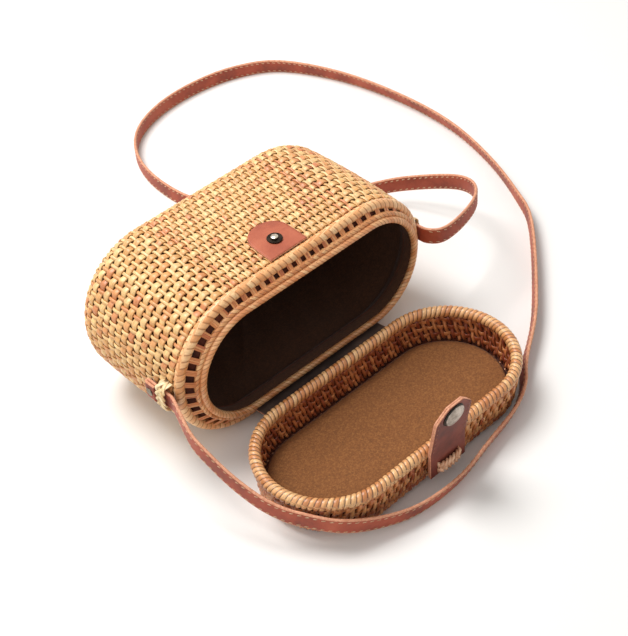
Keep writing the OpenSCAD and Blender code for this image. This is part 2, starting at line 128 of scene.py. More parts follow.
# The camera, fitted to the outlines of the mouth, the lid and the body: azimuth, elevation, roll and place
VIEW_ANGLES, VIEW_FROM, VIEW_LENS = (-40.379, 42.275, -5.0), (-0.42777, -0.49632, 0.65692), 80.46


def linear(colour):
    """An sRGB hex value, or a colour of the settings, as the linear colour that a shader takes."""
    if not isinstance(colour, str):
        return (*colour, 1.0)
    parts = [int(colour[i:i + 2], 16) / 255 for i in (1, 3, 5)]
    return (*(c / 12.92 if c <= 0.04045 else ((c + 0.055) / 1.055) ** 2.4 for c in parts), 1.0)


class CaneBagSettings(bpy.types.PropertyGroup):
    """Sizes and colours that a user would change."""

    weave_pitch: FloatProperty(
        name="Weave pitch", description="Distance from one woven row to the next",
        default=6.1 * MM, unit="LENGTH")
    strand_wide: FloatProperty(
        name="Strand width", description="Width of a flat cane strand of the weave",
        default=5.0 * MM, unit="LENGTH")
    rim_wraps: IntProperty(
        name="Rim wraps", description="How many times the cane is wound round the lid's rim", default=146)
    border_wraps: IntProperty(
        name="Border wraps", description="How many times the cane is wound round the mouth's border",
        default=120)
    strap_stitch: FloatProperty(
        name="Strap stitch", description="Distance from one stitch of the strap to the next",
        default=4.7 * MM, unit="LENGTH")
    cane_colour: FloatVectorProperty(
        name="Cane", description="Middle tone of the woven cane", subtype="COLOR", size=3,
        min=0, max=1, default=linear("#E0AA68")[:3])
    leather_colour: FloatVectorProperty(
        name="Leather", description="Middle tone of the strap's leather", subtype="COLOR", size=3,
        min=0, max=1, default=linear("#9C3E20")[:3])


# ---------------------------------------------------------------- mesh helpers

def rows_of(*values):
    """The values side by side, one row for each point."""
    return np.stack(np.broadcast_arrays(*map(np.atleast_1d, values)), 1)


def put(place, across, up, inward):
    """Points given in a basket's own directions, as points of the frame."""
    axes, origin = place
    return rows_of(across, up, inward)[:, axes] + origin


def put_round(place, spot, radius, inward, side=0.0):
    """Points at a radius from a spot on the oval's middle line, moved sideways round it."""
    middle, nx, ny = spot
    return put(place, middle + radius * nx + side * ny, radius * ny - side * nx, inward)


def oval(station, run, bend):
    """The spot of a station on the oval: across on its middle line, and the outward direction.
    run stations lie on each straight side and bend stations round each end."""
    station = np.mod(station, 2 * (run + bend))
    back = station >= run + bend
    station = np.where(back, station - run - bend, station)
    turn = np.clip((station - run) / bend, 0, 1) * math.pi
    middle = HALF_RUN * (2 * np.clip(station / run, 0, 1) - 1)
    sign = np.where(back, -1, 1)
    return sign * middle, sign * np.sin(turn), sign * np.cos(turn)


def oval_ring(u, radius):
    """The spot at share u of a ring at a radius."""
    run, bend = 2 * HALF_RUN, math.pi * radius
    return oval(u * 2 * (run + bend), run, bend)


AROUND = 490                # about how long the way round the oval is, for patterns
# Columns of a smooth form on each straight side and round each end
RUN_COLS, BEND_COLS = 52, 68
COLS = 2 * (RUN_COLS + BEND_COLS)


def oval_even(u):
    """The spot at share u of a smooth form's columns, which are the same on both sides of the oval, so that
    they meet on its middle line."""
    return oval(np.round(u * COLS), RUN_COLS, BEND_COLS)


def new_bmesh():
    """An empty bmesh whose vertices hold their lay."""
    bm = bmesh.new()
    bm.verts.layers.float_vector.new("lay")
    return bm


def add_grid(bm, cols, rows, shape):
    """Adds a grid. shape(u, v), both from 0 to 1, gives each vertex its point in mm and its lay."""
    made = bmesh.ops.create_grid(bm, x_segments=cols, y_segments=rows, size=0.5)["verts"]
    layer = bm.verts.layers.float_vector["lay"]
    uv = np.array([v.co[:2] for v in made]) + 0.5
    points, lay = shape(uv[:, 0], uv[:, 1])
    for vert, point, value in zip(made, (points * MM).tolist(), lay.tolist()):
        vert.co = point
        vert[layer] = value
    return bm


def add_strand(bm, line, wide, thick, cols, rows=8, square=2.0, tone=0.5, length=1.0):
    """Adds a strand or strap. line(u) gives its middle line, and wide and thick its half width and half
    thickness, as vectors or functions of u. square is 2 for an oval section and more for a squarer one."""
    def shape(u, v):
        half, deep = (part(u) if callable(part) else np.array(part) for part in (wide, thick))
        c, s = (np.sign(x) * np.abs(x) ** (2 / square) for x in (np.cos(ROUND * v), np.sin(ROUND * v)))
        lay = rows_of(u * length, c * np.linalg.norm(half, axis=-1), tone)
        return line(u) + half * c[:, None] + deep * s[:, None], lay
    return add_grid(bm, cols, rows, shape)


def distances(points):
    """How far along a line each of its points lies."""
    return np.concatenate([[0], np.cumsum(np.linalg.norm(np.diff(points, axis=0), axis=1))])


def between(at, places, values):
    """Values known at some places, read off at others."""
    return np.stack([np.interp(at, places, column) for column in values.T], 1)


def along(points, u):
    """The point at share u of the line through points."""
    points = np.array(points, float)
    steps = distances(points)
    return between(u * steps[-1], steps, points)


def rounded(points, times=3):
    """The line with its corners cut off again and again, its ends kept."""
    points = np.array(points, float)
    for _ in range(times):
        a, b = points[:-1], points[1:]
        cut = np.stack([0.75 * a + 0.25 * b, 0.25 * a + 0.75 * b], 1).reshape(-1, points.shape[1])
        points = np.concatenate([points[:1], cut, points[-1:]])
    return points


def add_stitches(bm, centres, directions, normals, size, slant=0.0):
    """Adds one stitch of thread at each centre: size is its length, width and height."""
    for centre, direction, normal in zip(*np.broadcast_arrays(centres, directions, normals)):
        x, z = Vector(direction).normalized(), Vector(normal).normalized()
        y = z.cross(x).normalized()
        x = (x * math.cos(slant) + y * math.sin(slant)).normalized()
        turn = Matrix((x, z.cross(x), z)).transposed().to_4x4()
        scale = Matrix.Diagonal((*(part / 2 * MM for part in size), 1))
        bmesh.ops.create_icosphere(bm, subdivisions=1, radius=1.0,
                                   matrix=Matrix.Translation(Vector(centre) * MM) @ turn @ scale)
    return bm


def add_lathe(bm, outline, matrix, steps=48):
    """Adds a turned piece: outline is its (radius, height) line from pole to pole."""
    verts = [bm.verts.new((r * MM, 0, h * MM)) for r, h in outline]
    edges = [bm.edges.new(pair) for pair in zip(verts, verts[1:])]
    bmesh.ops.spin(bm, geom=verts + edges, axis=(0, 0, 1), cent=(0, 0, 0), angle=ROUND, steps=steps,
                   use_merge=True)
    bmesh.ops.transform(bm, matrix=matrix, verts=bm.verts)
    return bm


def add_object(name, data):
    """A new object of the scene."""
    made = bpy.data.objects.new(name, data)
    bpy.context.scene.collection.objects.link(made)
    return made


def make_piece(name, bm, finishes, body=None, nodes=(), thickness=0, rim=1):
    """The finished piece, riding on its body for its nodes: seams merged, ends closed and faces outward. A
    thickness makes a sheet of leather or cloth, whose cut edge shows the material rim steps on."""
    bmesh.ops.remove_doubles(bm, verts=bm.verts, dist=MERGE)
    bmesh.ops.dissolve_degenerate(bm, edges=bm.edges, dist=MERGE / 2)
    if not thickness:
        bmesh.ops.holes_fill(bm, edges=[e for e in bm.edges if e.is_boundary], sides=0)
    bmesh.ops.recalc_face_normals(bm, faces=bm.faces)
    mesh = bpy.data.meshes.new(name)
    bm.to_mesh(mesh)
    bm.free()
    if not mesh.polygons:
        raise RuntimeError(f"{name} has no faces")
    for finish in finishes:
        mesh.materials.append(MATERIALS[finish])
    mesh.polygons.foreach_set("use_smooth", [True] * len(mesh.polygons))
    piece = add_object(name, mesh)
    if body:
        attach(piece, body)
    if nodes:
        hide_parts(*nodes)
    if thickness:
        made = piece.modifiers.new("thickness", "SOLIDIFY")
        made.thickness, made.offset, made.material_offset_rim = thickness * MM, 0, rim
    return piece


def finish_node(node, finish):
    """Gives a CAD node that stays its material."""
    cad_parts[node].data.materials[0] = MATERIALS[finish]


# ---------------------------------------------------------------- materials

def feed(node, inputs):
    """Gives a node's sockets a value, or links them from a socket or a node."""
    for name, value in dict(inputs).items():
        if isinstance(value, bpy.types.Node):
            value = next(socket for socket in value.outputs if socket.enabled)
        if isinstance(value, bpy.types.NodeSocket):
            node.id_data.links.new(value, node.inputs[name])
        else:
            node.inputs[name].default_value = value


def add_node(tree, kind, inputs=(), stops=(), **settings):
    """Adds a shader node with its settings and inputs. stops are the places and colours of a ramp."""
    made = tree.nodes.new("ShaderNode" + kind)
    for name, value in settings.items():
        setattr(made, name, value)
    feed(made, inputs)
    if stops:
        elements = made.color_ramp.elements
        while len(elements) < len(stops):
            elements.new(0.5)
        for element, (place, colour) in zip(elements, stops):
            element.position = place
            element.color = linear(colour)
    return made


def new_material(name, roughness, **fixed):
    """A material with its shader's fixed values, as (material, add_node for its tree, shader)."""
    made = bpy.data.materials.new(name)
    made.use_nodes = True
    shader = made.node_tree.nodes["Principled BSDF"]
    feed(shader, {"Roughness": roughness, **{key.replace("_", " "): value for key, value in fixed.items()}})
    return made, partial(add_node, made.node_tree), shader


def lay_over(add, shader, tone, layers, height, strength, depth, worn=None, **more):
    """Lays colours over a tone, each by the share that its pattern gives it between two values, and bumps
    the surface by a pattern, depth mm deep."""
    for pattern, low, high, most, colour in layers:
        share = add("MapRange", {0: pattern, 1: low, 2: high, 3: 0.0, 4: most})
        tone = add("Mix", {0: share, 6: tone, 7: linear(colour)}, data_type="RGBA")
    if worn:
        tone = add("HueSaturation", {"Color": tone, "Value": worn})
    bump = add("Bump", {"Height": height, "Strength": strength, "Distance": depth * MM})
    feed(shader, {"Base Color": tone, "Normal": bump, **more})


def cane(name, stops, streak, coat=0.15, streak_dark=0.45):
    """Split cane, varnished. Each strand has its own honey tone, with long fibre streaks along it and a
    soft gloss on its round side."""
    made, add, shader = new_material(name, 0.42, Coat_Weight=coat, Coat_Roughness=0.3)
    lay = add("Attribute", attribute_name="lay").outputs["Vector"]
    tone = add("ValToRGB", {0: add("SeparateXYZ", {0: lay}).outputs[2]}, stops)
    # Fibres of about 0.5 mm, stretched to 12 mm along the strand; real ones are finer
    place = add("VectorMath", {0: lay, 1: (1 / 12, 2.0, 60.0)}, operation="MULTIPLY")
    fibre = add("TexNoise", {"Vector": place, "Scale": 1.0, "Detail": 3.0, "Roughness": 0.6})
    # Slow change of colour over about 25 mm, as varnish and sun leave it
    place = add("VectorMath", {0: lay, 1: (1 / 25, 0.1, 9.0)}, operation="MULTIPLY")
    patch = add("TexNoise", {"Vector": place, "Scale": 1.0})
    worn = add("MapRange", {0: patch, 1: 0.35, 2: 0.7, 3: 0.86, 4: 1.1})
    lay_over(add, shader, tone, [(fibre, 0.42, 0.72, streak_dark, streak)], fibre, 0.35, 0.15, worn)
    return made


def wrapped_cane(name, stops, dark):
    """Split cane wound side by side round a core. Each turn has its own tone, and a dark line of painted
    shade lies in the groove where one turn meets the next."""
    made, add, shader = new_material(name, 0.4, Coat_Weight=0.18, Coat_Roughness=0.3)
    lay = add("Attribute", attribute_name="lay").outputs["Vector"]
    parts = add("SeparateXYZ", {0: lay})
    turn = add("Math", {0: parts}, operation="FLOOR")
    tone = add("ValToRGB", {0: add("TexWhiteNoise", {"W": turn}, noise_dimensions="1D")}, stops)
    # How far from the middle of its turn, in turns
    within = add("Math", {0: parts}, operation="FRACT")
    middle = add("Math", {0: within, 1: 0.5}, operation="SUBTRACT")
    out = add("Math", {0: middle}, operation="ABSOLUTE")
    # Fibres of a fifth of a turn's width, about 3 mm long; real ones are finer
    place = add("VectorMath", {0: lay, 1: (5.0, 0.35, 1.0)}, operation="MULTIPLY")
    fibre = add("TexNoise", {"Vector": place, "Scale": 1.0, "Detail": 3.0})
    # The first layer is fibre streaks; the second darkens each turn towards its edges, a painted shade in the
    # groove between turns
    layers = [(fibre, 0.4, 0.75, 0.4, dark), (out, 0.33, 0.5, 1.0, dark)]
    lay_over(add, shader, tone, layers, fibre, 0.3, 0.15)
    return made


def leather(name, base, light, dark, roughness=0.6):
    """Vegetable-tanned cowhide, waxed. Fine pebble grain, a slow change of tone and paler rubbed places."""
    made, add, shader = new_material(name, roughness, Sheen_Weight=0.05)
    place = add("TexCoord").outputs["Object"]
    # Pebbles of 1.1 mm; real ones are about half as large
    pebble = add("TexVoronoi", {"Vector": place, "Scale": 1 / (1.1 * MM)}, feature="F1")
    slow = add("TexNoise", {"Vector": place, "Scale": 45.0, "Detail": 4.0, "Roughness": 0.6})
    fine = add("TexNoise", {"Vector": place, "Scale": 400.0, "Detail": 3.0})
    tone = add("ValToRGB", {0: slow}, [(0.3, dark), (0.5, base), (0.72, light)])
    matt = add("MapRange", {0: fine, 3: roughness - 0.08, 4: roughness + 0.1})
    lay_over(add, shader, tone, [(fine, 0.5, 0.75, 0.35, light)], pebble, 0.25, 0.1, Roughness=matt)
    return made


def cloth(name, base, light, dark, thread, sheen):
    """Plain woven cotton or linen. Crossing threads, a little fuzz and uneven dye make it quite matt."""
    made, add, shader = new_material(name, 0.9, Sheen_Weight=sheen, Sheen_Roughness=0.5)
    lay = add("Attribute", attribute_name="lay").outputs["Vector"]
    # Threads in mm, drawn coarser than the real 0.4 mm so that they show; a wave of scale 1 is 0.314 long
    scale = 0.314 / thread
    warp, weft = (add("TexWave", {"Vector": lay, "Scale": scale, "Distortion": 0.6}, bands_direction=way)
                  .outputs[1] for way in "XY")
    woven = add("Math", {0: warp, 1: weft}, operation="MULTIPLY")
    # Slubs and fuzz of about 1 mm
    dye = add("TexNoise", {"Vector": lay, "Scale": 0.9, "Detail": 3.0, "Roughness": 0.7})
    tone = add("ValToRGB", {0: dye}, [(0.3, dark), (0.5, base), (0.7, light)])
    lay_over(add, shader, tone, [(woven, 0.0, 1.0, 0.4, light)], woven, 0.4, 0.2)
    return made


def plain(name, base, dark, roughness, scale, bump_mm=0.05, **fixed):
    """A plain solid finish: a base tone with darker clouds, and a fine tooth that breaks its gloss."""
    made, add, shader = new_material(name, roughness, **fixed)
    place = add("TexCoord").outputs["Object"]
    cloud = add("TexNoise", {"Vector": place, "Scale": scale, "Detail": 5.0, "Roughness": 0.65})
    lay_over(add, shader, add("ValToRGB", {0: cloud}, [(0.35, dark), (0.65, base)]), [], cloud, 0.3, bump_mm)
    return made


def make_materials(settings):
    """Every finish of the bag, by its plain name."""
    return {
        "woven_cane": cane("woven cane, varnished", [
            (0.0, "#F4CE8E"), (0.3, "#ECC080"), (0.62, settings.cane_colour), (0.85, "#DE9E62"),
            (0.95, "#D48C58"), (1.0, "#C67A4C")], "#9A5628", streak_dark=0.55),
        # The stakes are split finer and paler than the rows
        "stake_cane": cane("split cane stakes", [
            (0.0, "#F2D096"), (0.5, "#E8BC7C"), (0.9, "#DA9F64"), (1.0, "#C87E50")], "#A86E3C"),
        # The rows round the lid's skirt are darker and redder
        "skirt_cane": cane("skirt cane, varnished", [
            (0.0, "#F0B478"), (0.5, "#D68A52"), (0.85, "#B8683A"), (1.0, "#984A28")], "#5A2810",
            streak_dark=0.6),
        # The inner side of the skirt is a darker, redder copy of the skirt cane: painted shade
        "shaded_inner_cane": cane("inner skirt cane, painted shade", [
            (0.0, "#D88E56"), (0.5, "#B66638"), (0.85, "#944626"), (1.0, "#7A341C")], "#4A1C0A",
            streak_dark=0.6),
        # The last colour of each wrapped cane darkens its fibre streaks and is also the painted shade in the
        # grooves between its turns
        "rim_cane": wrapped_cane("wrapped rim cane", [
            (0.0, "#F0BE84"), (0.5, "#E2A066"), (1.0, "#C67C46")], "#3E1405"),
        "border_cane": wrapped_cane("wrapped border cane", [
            (0.0, "#FAD09A"), (0.4, "#F6BE84"), (0.8, "#EEAC70"), (1.0, "#E0985C")], "#A8642F"),
        "lashing_cane": cane("lashing cane", [
            (0.0, "#F2B074"), (0.4, "#E09054"), (0.8, "#CE7842"), (1.0, "#B66238")], "#8A4820"),
        "lip_cane": wrapped_cane("wrapped lip cane", [
            (0.0, "#F6C48C"), (0.5, "#EAA870"), (1.0, "#DA8E56")], "#A85C2C"),
        "roll_cane": wrapped_cane("wrapped roll cane", [
            (0.0, "#F2BE84"), (0.5, "#E49E62"), (1.0, "#CC8048")], "#944C22"),
        "plait_cane": cane("stained plaited cane", [
            (0.0, "#F4CBA6"), (0.5, "#E6B490"), (1.0, "#CC936C")], "#84502E"),
        "pale_cane": cane("pale plaited cane", [
            (0.0, "#F6E2B8"), (0.5, "#EBCF9C"), (1.0, "#DDB67C")], "#B98A50", coat=0.05),
        # Core behind the strands, unvarnished and dark reddish brown: partly the cane's stain, partly painted
        # shade in the gaps between the strands
        "core_stain_and_shade": plain("stained cane core with painted shade", "#6A2E14", "#3A1408", 0.8, 180.0),
        "dark_cotton": cloth("dark cotton lining", "#482814", "#5E381E", "#30190C", 0.9, 0.04),
        "tan_linen": cloth("tan linen lining", "#7E4B22", "#966434", "#603A1A", 0.8, 0.03),
        # The hinge leather's dark grey-brown is the leather's own dark tone, darkened further by painted
        # shade
        "hinge_leather": leather("hinge leather, matt, with painted shade", "#4A3A34", "#6A564C", "#322622", 0.62),
        "patch_leather": leather("patch leather", "#A04A2C", "#B45E3E", "#863A20"),
        # The tab's front leather is dark brown partly by its own tone and partly by painted shade on its face
        "tab_leather": leather("tab leather with painted shade", "#743020", "#8C452E", "#501E12", 0.62),
        "strap_leather": leather("strap leather", settings.leather_colour, "#B25434", "#702A14"),
        # The cut edge of the hide is paler and has no grain
        "cut_leather": plain("cut leather edge", "#E2A684", "#BF7C5C", 0.75, 600.0),
        "thread": plain("waxed linen thread", "#DDBE98", "#AE8660", 0.6, 900.0, Sheen_Weight=0.1),
        "tab_thread": plain("waxed brown thread", "#A87050", "#6E4028", 0.65, 900.0, Sheen_Weight=0.1),
        "dark_thread": plain("waxed dark thread", "#A08C74", "#6A5846", 0.65, 900.0, Sheen_Weight=0.1),
        "snap_metal": plain("antiqued brass snap", "#A79A84", "#4A4136", 0.36, 220.0, 0.03, Metallic=1.0),
        "cap_metal": plain("brushed snap cap", "#CDC0B4", "#8F8276", 0.5, 260.0, 0.03, Metallic=0.85),
        # The dark metal is the stud's blackened washer and also the ring of painted shadow under the snap's
        # cap
        "dark_metal": plain("blackened washer and painted shadow ring", "#3A3028", "#1C1610", 0.42, 220.0, 0.03, Metallic=1.0),
        "pale_metal": plain("worn snap stud", "#D2C8B6", "#8E8270", 0.3, 220.0, 0.03, Metallic=1.0),
        "board": plain("pressed board", "#CDB68F", "#B39870", 0.85, 120.0),
    }


MATERIALS = {}


# ---------------------------------------------------------------- basket shapes

@dataclass
class Weave:
    """One plain weave: rows go round, stakes go in from the rim."""
    run: int = 34           # stakes on each straight side
    bend: int = 38          # stakes round each end
    pitch: float = 6.1      # from one row to the next
    row_wide: float = 2.8   # half width of a row's cane
    row_thick: float = 0.72
    stake_wide: float = 0.95
    stake_thick: float = 0.62
    lift: float = 0.75      # how far a strand rises and sinks
    piece: int = 2          # stakes that one tone of a row passes
    slant: float = 0.0      # how far the ends of a stake lie to either side of its middle, in stakes

    @property
    def around(self):
        return 2 * (self.run + self.bend)


def body_wall(depth):
    """Outside radius of the bag's wall at a depth in from the lip."""
    t = (depth - BORDER_IN) / (BODY_DEPTH - BORDER_IN)
    return 52.5 + 0.5 * t + 8 * t * (1 - t)


def skirt_radius(z):
    """Outside radius of the lid's skirt at a height above its outer face."""
    return 47.7 - 3.5 * (1 - z / LID_RIM_Z)


def shell_profile(wall_radius, start, end, bend, inset):
    """Profile of a wall from start to end, the bend after it and the flat after that, as a function that
    gives radius, place inward and outward direction at a distance down from its start."""
    wall, way = abs(end - start), math.copysign(1, end - start)

    def profile(m):
        depth = start + way * np.minimum(m, wall)
        turn = np.clip((m - wall) / bend, 0, math.pi / 2)
        flat = np.maximum(m - wall - bend * math.pi / 2, 0)
        radius = wall_radius(depth) + bend * (np.cos(turn) - 1) - inset * np.cos(turn) - flat
        return radius, depth + way * (bend - inset) * np.sin(turn), np.cos(turn), way * np.sin(turn)
    return profile


def body_profile(inset):
    """Profile of the body, down from the border and round to its base."""
    return shell_profile(body_wall, BODY_START, WALL_END, BASE_TURN, inset)


def lid_profile(inset):
    """Profile of the lid from under its rim coil, down the skirt and round to its outer face."""
    return shell_profile(skirt_radius, LID_START, LID_TURN, LID_TURN, inset)


def skirt_inside(inset):
    """Profile of the inner side of the lid's skirt, facing the middle of the lid."""
    def profile(m):
        z = LID_START - m
        return skirt_radius(z) - LID_SKIRT + inset, z, -np.ones_like(z), np.zeros_like(z)
    return profile


def add_row(bm, place, profile, at, index, weave, random):
    """Adds one row of cane, over one stake and under the next, closed round the oval. It is pieced from
    lengths of different tone, which change under a stake."""
    wobble = 0.12 * random.standard_normal()
    tones = random.random(weave.around // weave.piece + 1)
    first = random.integers(weave.around)

    def shape(u, v):
        station = u * weave.around
        piece = np.mod(np.floor(station + 0.01) + first, weave.around) // weave.piece
        radius, depth, out, inward = profile(np.full_like(u, at))
        over = np.cos(math.pi * (station + index))
        lift = weave.lift * over + weave.row_thick * np.sin(ROUND * v)
        side = (weave.row_wide * np.cos(ROUND * v) * (1 + 0.06 * over)
                + wobble * np.sin(station * 0.37 + index))
        radius = radius + lift * out - side * inward
        lay = rows_of(station * 3.6, side, tones[piece.astype(int)])
        return put_round(place, oval(station, weave.run, weave.bend), radius,
                         depth + lift * inward + side * out), lay
    add_grid(bm, weave.around * 4, 8, shape)


def add_stake(bm, place, profile, length, index, weave, tone):
    """Adds one stake of cane, under the rows that pass over it."""
    def shape(u, v):
        m = u * length
        radius, depth, out, inward = profile(m)
        spot = oval(index + weave.slant * (2 * u - 1), weave.run, weave.bend)
        over = -np.cos(math.pi * (index + m / weave.pitch - 0.5))
        lift = weave.lift * over + weave.stake_thick * np.sin(ROUND * v)
        bent = np.abs(spot[1]) > 1e-6
        wide = weave.stake_wide * np.where(bent, 1.2 * np.clip(radius / 52, 0.5, 1), 1.0)
        side = wide * np.cos(ROUND * v)
        lay = rows_of(m, side, tone)
        return put_round(place, spot, radius + lift * out, depth + lift * inward, side), lay
    add_grid(bm, int(round(length / weave.pitch * 4)), 6, shape)


def add_basket(rows_bm, stakes_bm, place, profile, length, weave, random):
    """Adds the rows and the stakes of one wall."""
    for index in range(int(length / weave.pitch)):
        add_row(rows_bm, place, profile, (index + 0.5) * weave.pitch, index, weave, random)
    for index in range(weave.around):
        add_stake(stakes_bm, place, profile, length, index, weave, random.random())


def add_panel(rows_bm, stakes_bm, place, radius, depth, outward, weave, random):
    """Adds a flat woven oval: rows along it and stakes across it, in at depth and facing outward."""
    step = 2 * HALF_RUN / weave.run
    count = int(2 * radius / weave.pitch)
    for index in range(count):
        up = (index - (count - 1) / 2) * weave.pitch
        half = HALF_RUN + math.sqrt(radius ** 2 - up ** 2)
        tones = random.random(int(2 * half / step / weave.piece) + 2)

        def row(u, v):
            x = (2 * u - 1) * half
            side = weave.row_wide * np.cos(ROUND * v)
            lift = weave.lift * np.cos(math.pi * (x / step + index)) + weave.row_thick * np.sin(ROUND * v)
            tone = tones[((x + half) / step / weave.piece).astype(int)]
            return put(place, x, up + side, depth + outward * lift), rows_of(x, side, tone)
        add_grid(rows_bm, int(half / step * 8), 8, row)
    most = int((HALF_RUN + radius - 2) / step)
    for index in range(-most, most + 1):
        x = index * step
        half = math.sqrt(radius ** 2 - max(abs(x) - HALF_RUN, 0) ** 2)
        tone = random.random()

        def stake(u, v):
            up = (2 * u - 1) * half
            side = weave.stake_wide * np.cos(ROUND * v)
            over = -np.cos(math.pi * (index + up / weave.pitch + (count - 1) / 2))
            lift = weave.lift * over + weave.stake_thick * np.sin(ROUND * v)
            return put(place, x + side, up, depth + outward * lift), rows_of(up, side, tone)
        add_grid(stakes_bm, max(6, int(half / weave.pitch * 8)), 6, stake)


def make_weave(name, body, finishes, add, *args, nodes=()):
    """Makes the rows and the stakes of one weave as two pieces. add is add_basket or add_panel."""
    rows, stakes = new_bmesh(), new_bmesh()
    add(rows, stakes, *args)
    make_piece(f"{name}_rows", rows, finishes[:1], body, nodes)
    make_piece(f"{name}_stakes", stakes, finishes[1:], body)


def add_sweep(bm, place, section):
    """Adds a form of one section, given as radius and depth, carried round the oval."""
    def shape(u, v):
        at = along(section, v)
        return put_round(place, oval_even(u), at[:, 0], at[:, 1]), rows_of(u * AROUND, v * 200, 0.5)
    return add_grid(bm, COLS, max(12, 3 * len(section)), shape)


def add_coil(bm, place, radius, depth, thick, wraps, dent, lean, steps=8, rows=14):
    """Adds a ring of cane wound round a core, each turn standing up between two grooves. dent is the depth
    of a groove as a share of the ring, and lean how many turns it slips on its way round the core."""
    def shape(u, v):
        turn = ROUND * v
        phase = wraps * u + lean * v
        half = thick / 2 * (1 - dent * (1 - np.abs(np.sin(math.pi * phase)) ** 0.6))
        points = put_round(place, oval_ring(u, radius), radius + half * np.cos(turn),
                           depth + half * np.sin(turn))
        return points, rows_of(phase, turn * thick / 2, 0.5)
    return add_grid(bm, wraps * steps, rows, shape)


def add_twist(bm, place, radius, depth, thick=3.6, turns=50):
    """Adds a ring of two plies twisted round each other."""
    ply = thick / 2 / (1 + 1 / 1.19)
    for index in range(2):
        def shape(u, v):
            turn, phase = ROUND * v, ROUND * (turns * u + index / 2)
            out = radius + (thick / 2 - ply) * np.cos(phase) + ply * np.cos(turn)
            deep = depth + (thick / 2 - ply) * np.sin(phase) + ply * np.sin(turn)
            lay = rows_of(u * 460, ply * np.cos(turn), 0.2 + 0.5 * index)
            return put_round(place, oval_ring(u, radius), out, deep), lay
        add_grid(bm, turns * 10, 8, shape)
    return bm


# ---------------------------------------------------------------- operators

class CANEBAG_OT_view(bpy.types.Operator):
    """Sets the camera at the photograph's viewing angle"""
    bl_idname = "canebag.view"
    bl_label = "View"

    def execute(self, context):
        azimuth, elevation, roll = (math.radians(angle) for angle in VIEW_ANGLES)
        back = Vector((math.sin(azimuth) * math.cos(elevation), -math.cos(azimuth) * math.cos(elevation),
                       math.sin(elevation)))
        right = Vector((math.cos(azimuth), math.sin(azimuth), 0))
        up = back.cross(right)
        x = right * math.cos(roll) + up * math.sin(roll)
        y = up * math.cos(roll) - right * math.sin(roll)
        data = bpy.data.cameras.new("photo_view")
        data.lens, data.sensor_width, data.sensor_fit = VIEW_LENS, 36.0, "AUTO"
        data.clip_start, data.clip_end = 0.01, 20
        camera = add_object("photo_view", data)
        camera.matrix_world = Matrix.Translation(VIEW_FROM) @ Matrix((x, y, back)).transposed().to_4x4()
        context.scene.camera = camera
        context.scene.view_settings.view_transform = "Standard"
        return {"FINISHED"}


def strap_line(steps=4):
    """Ring centres of the free strap: the CAD part's curve through its route."""
    start, end = np.array([-END_X, END_Y, BODY_Z]), np.array([END_X, END_Y, BODY_Z])
    ahead = np.array([0, STRAP_WIDE, 0])
    points = np.array([start + ahead, start, *ROUTE, end, end + ahead], float)
    found = [(2 * b + (c - a) * t + (2 * a - 5 * b + 4 * c - d) * t * t
              + (3 * b - a - 3 * c + d) * t ** 3) / 2
             for a, b, c, d in zip(points, points[1:], points[2:], points[3:])
             for t in np.arange(steps) / steps]
    return np.array([*found, end])


def strap_frames(line):
    """Direction, up and side of the strap at each ring, leaning where it lies free."""
    ahead = np.zeros_like(line)
    ahead[1:-1] = line[2:] - line[:-2]
    ahead[0], ahead[-1] = (0, -1, 0), (0, 1, 0)
    ahead /= np.linalg.norm(ahead, axis=1)[:, None]
    up = np.array([0, 0, 1]) - ahead * ahead[:, 2:3]
    up /= np.linalg.norm(up, axis=1)[:, None]
    side = np.cross(ahead, up)
    lean = np.radians(np.interp(np.linspace(0, 1, len(line)), *zip(*LEANS)))[:, None]
    return ahead, up * np.cos(lean) + side * np.sin(lean), side * np.cos(lean) - up * np.sin(lean)


def make_strap(name, bm, node):
    """A piece of the strap, whose cut edges, the last 0.9 mm on each side, show the second material."""
    strap = make_piece(name, bm, ["strap_leather", "cut_leather"], "bag", [node])
    lay = np.zeros(len(strap.data.vertices) * 3)
    strap.data.attributes["lay"].data.foreach_get("vector", lay)
    across = np.abs(lay.reshape(-1, 3)[:, 1])
    for face in strap.data.polygons:
        if min(across[v] for v in face.vertices) > STRAP_WIDE / 2 - 0.9:
            face.material_index = 1
    return strap


class CANEBAG_OT_strap(bpy.types.Operator):
    """Lays out the free strap with its two rows of stitches on each face"""
    bl_idname = "canebag.strap"
    bl_label = "Strap"

    def execute(self, context):
        line = strap_line()
        ahead, up, side = strap_frames(line)
        steps = distances(line)
        length = steps[-1]
        share = np.arange(len(line)) / (len(line) - 1)
        bm = add_strand(new_bmesh(), lambda u: between(u, share, line),
                        lambda u: between(u, share, up) * STRAP_WIDE / 2,
                        lambda u: between(u, share, side) * STRAP_THICK / 2,
                        len(line) - 1, 16, 5.0, length=length)
        strap = make_strap("long_strap", bm, "strap")

        pitch = context.scene.cane_bag.strap_stitch / MM
        stitch_in, size, slant = 1.9, (3.2, 0.85, 0.5), 0.25
        u = np.interp(np.arange(pitch, length - pitch, pitch), steps, share)
        middle, ahead, above, beside = (between(u, share, values) for values in (line, ahead, up, side))
        bm = new_bmesh()
        for row in (-1, 1):
            for face in (-1, 1):
                centre = middle + above * row * (STRAP_WIDE / 2 - stitch_in) + beside * face * STRAP_THICK / 2
                add_stitches(bm, centre, ahead, beside * face, size, slant * face)
        stitches = make_piece("strap_stitching", bm, ["thread"], "bag")
        return {"FINISHED"}


